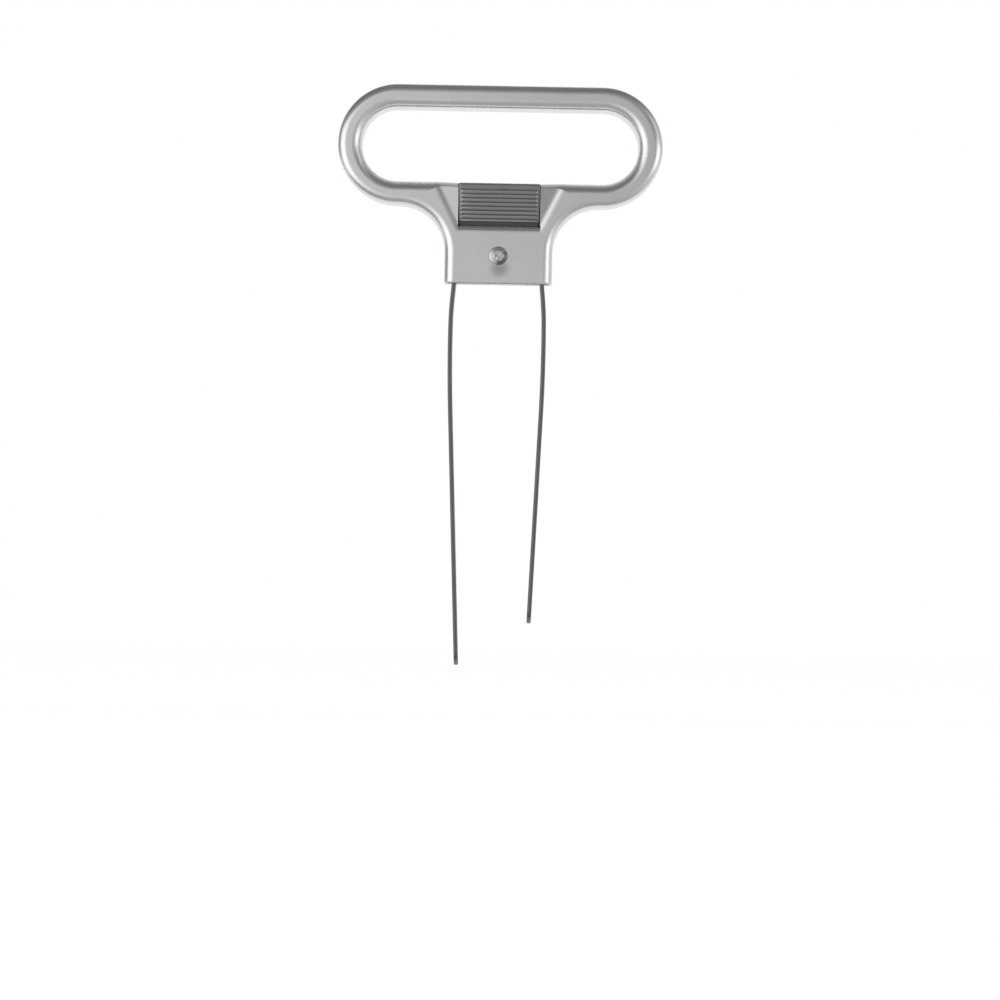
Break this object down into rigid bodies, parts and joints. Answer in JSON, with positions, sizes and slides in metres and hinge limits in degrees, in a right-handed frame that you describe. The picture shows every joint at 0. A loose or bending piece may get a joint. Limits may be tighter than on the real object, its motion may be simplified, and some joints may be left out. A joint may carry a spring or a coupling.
{
  "type": "two-prong cork puller",
  "caption": "Prong-type cork puller: hollow pressed loop handle, ribbed thumb block in the neck's windows, and unequal sprung steel prongs hung on a rivet.",
  "frame": {"origin": "centre of the neck's open mouth, midway between the prongs, where the tool stands over the cork", "axes": "+X to the right as the prongs straddle the cork, +Y from the front face with the peened rivet to the back face, +Z from the prongs up to the loop"},
  "size_m": [0.0752, 0.0126, 0.1349],
  "materials": {
    "shell_plate": "pressed steel sheet, satin nickel plate",
    "block_plate": "die-cast block with rolled ribs, satin nickel plate",
    "spring_steel": "spring-steel strip with ground edges, dark from tempering",
    "rivet_steel": "bright steel, peened by hammer at the front"
  },
  "bodies": {
    "handle": {"front_shell": "shell_plate", "back_shell": "shell_plate", "thumb_block": "block_plate", "rivet": "rivet_steel", "rivet_washer": "rivet_steel", "rivet_spacer": "rivet_steel"},
    "long_prong": {"long_prong": "spring_steel"},
    "short_prong": {"short_prong": "spring_steel"}
  },
  "joints": [
    {"name": "long_prong_flex", "type": "hinge", "parent": "handle", "child": "long_prong", "pos_m": [0, 0, 0.0064], "axis": [0, 1, 0], "range_deg": [-2, 3], "stiffness_Nm_per_rad": 4.8},
    {"name": "short_prong_flex", "type": "hinge", "parent": "handle", "child": "short_prong", "pos_m": [0, 0, 0.0064], "axis": [0, -1, 0], "range_deg": [-2, 3], "stiffness_Nm_per_rad": 4.8}
  ]
}
